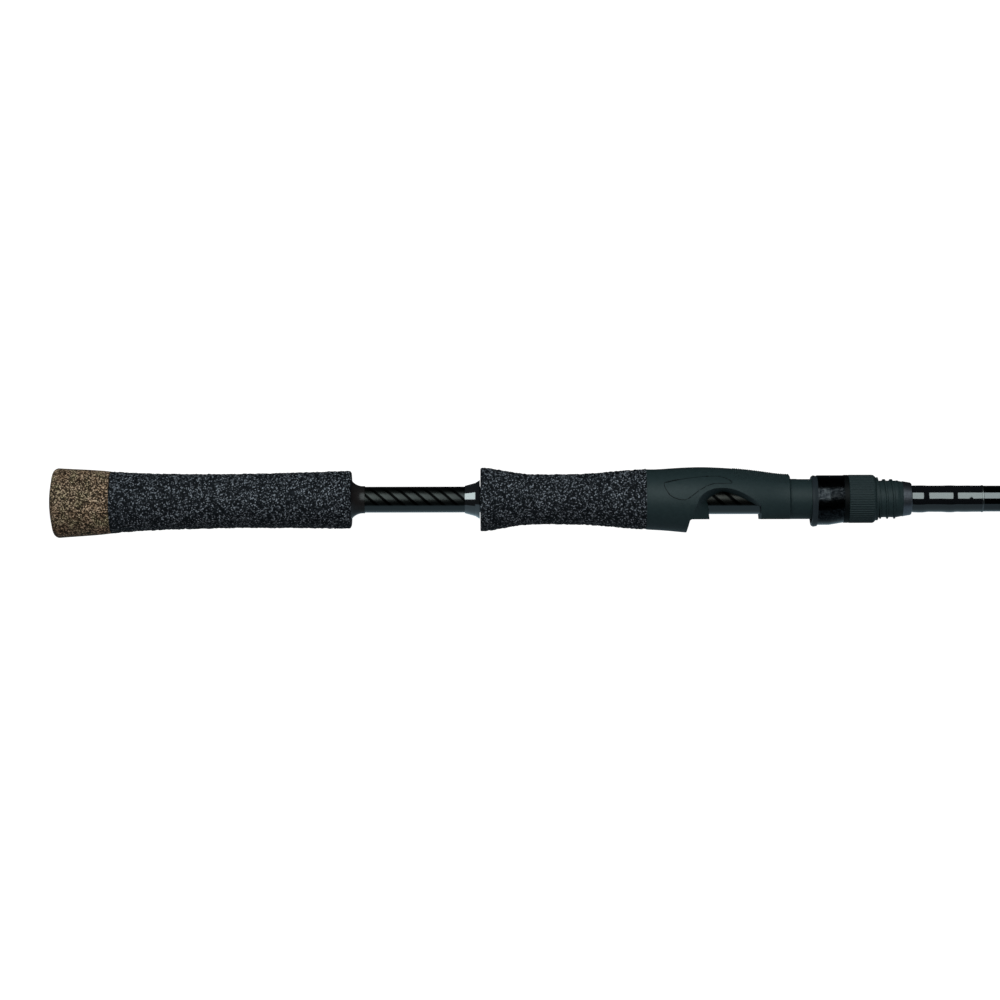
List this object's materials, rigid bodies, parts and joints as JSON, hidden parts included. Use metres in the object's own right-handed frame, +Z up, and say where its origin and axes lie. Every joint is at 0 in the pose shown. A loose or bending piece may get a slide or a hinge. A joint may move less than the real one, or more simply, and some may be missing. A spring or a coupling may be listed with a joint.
{
  "type": "spinning rod",
  "caption": "Long tapered fishing rod with a two-part handle, a reel seat with a screwed sliding hood, and line guides hanging under the blank.",
  "frame": {"origin": "centre of the butt end, on the blank's axis", "axes": "+X along the blank from the butt to the tip; +Z up, so the reel and the guides hang on the -Z side"},
  "size_m": [2.1336, 0.0296, 0.0524],
  "materials": {
    "burl": "ground burl of cork and rubber grains, sealed",
    "grip": "rough pebbled composite, matt",
    "check": "glossy black",
    "seat": "matt charcoal",
    "liner": "matt dark grey",
    "carbon": "spiral-wound carbon under clear varnish",
    "hood": "glossy black",
    "nut": "matt charcoal",
    "end_ring": "satin gunmetal anodising",
    "winding": "black thread under clear epoxy",
    "trim": "bright metallic thread",
    "guide_frame": "dark polished wire",
    "guide_ring": "polished dark ceramic"
  },
  "bodies": {
    "rod": {"blank": "carbon", "butt_cap": "burl", "fixed_hood_liner": "liner", "fore_grip": "grip", "fore_winding_check": "check", "front_wrap_1": "winding", "front_wrap_2": "winding", "guide_1_frame": "guide_frame", "guide_1_front_wrap": "winding", "guide_1_rear_wrap": "winding", "guide_1_ring": "guide_ring", "guide_2_frame": "guide_frame", "guide_2_front_wrap": "winding", "guide_2_rear_wrap": "winding", "guide_2_ring": "guide_ring", "guide_3_frame": "guide_frame", "guide_3_front_wrap": "winding", "guide_3_rear_wrap": "winding", "guide_3_ring": "guide_ring", "guide_4_frame": "guide_frame", "guide_4_front_wrap": "winding", "guide_4_ring": "guide_ring", "guide_5_frame": "guide_frame", "guide_5_front_wrap": "winding", "guide_5_ring": "guide_ring", "guide_6_frame": "guide_frame", "guide_6_front_wrap": "winding", "guide_6_ring": "guide_ring", "guide_7_frame": "guide_frame", "guide_7_front_wrap": "winding", "guide_7_ring": "guide_ring", "guide_8_frame": "guide_frame", "guide_8_front_wrap": "winding", "guide_8_ring": "guide_ring", "label_band": "winding", "rear_grip": "grip", "rear_winding_check": "check", "reel_seat_body": "seat", "seat_end_ring": "end_ring", "seat_sleeve": "carbon", "tip_top_frame": "guide_frame", "tip_top_ring": "guide_ring", "trim_band": "trim"},
    "hood": {"sliding_hood": "hood", "sliding_hood_liner": "liner", "hood_ring": "hood"},
    "nut": {"lock_nut": "nut"}
  },
  "joints": [
    {"name": "hood_slide", "type": "slide", "parent": "rod", "child": "hood", "axis": [1, 0, 0], "range_m": [-0.00751, 0.00901]},
    {"name": "nut_turn", "type": "hinge", "parent": "hood", "child": "nut", "pos_m": [0.3453, 0, 0], "axis": [1, 0, 0], "range_deg": [-900, 1080]}
  ],
  "couplings": [
    {"joint": "hood_slide", "follows": "nut_turn", "m_per_rad": 0.00047746}
  ]
}
